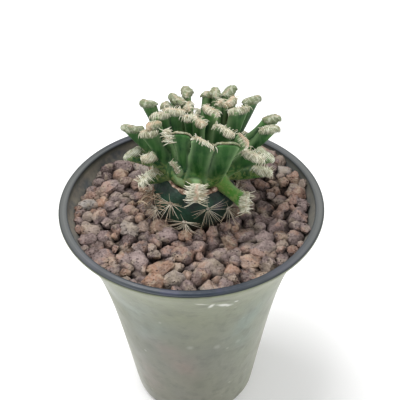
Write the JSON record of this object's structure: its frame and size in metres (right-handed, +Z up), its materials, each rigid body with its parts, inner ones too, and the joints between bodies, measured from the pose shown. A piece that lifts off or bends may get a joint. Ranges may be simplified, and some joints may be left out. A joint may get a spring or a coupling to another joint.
{
  "type": "potted mammillaria bertholdii",
  "caption": "Small grafted cactus of flattened, comb-tipped tubercles on a globular stock, set in lava gravel in a flared plastic pot.",
  "frame": {"origin": "centre of the pot's flat underside", "axes": "+Z up through the middle of the pot, -Y towards the side seen in the picture"},
  "size_m": [0.076, 0.076, 0.1085],
  "materials": {
    "pot_plastic": "satin, slightly translucent moulded plastic, darker slate at the rim",
    "potting_mix": "dark crumbly mineral mix",
    "lava_gravel": "rough porous lava grit, mauve, brown and grey",
    "stock_skin": "satin dark green plant skin with pale brown spines",
    "scion_skin": "satin green plant skin with cream woolly areoles and comb spines"
  },
  "bodies": {
    "root": {"pot": "pot_plastic", "potting_mix": "potting_mix", "gravel": "lava_gravel", "rootstock": "stock_skin", "scion": "scion_skin"}
  },
  "joints": []
}
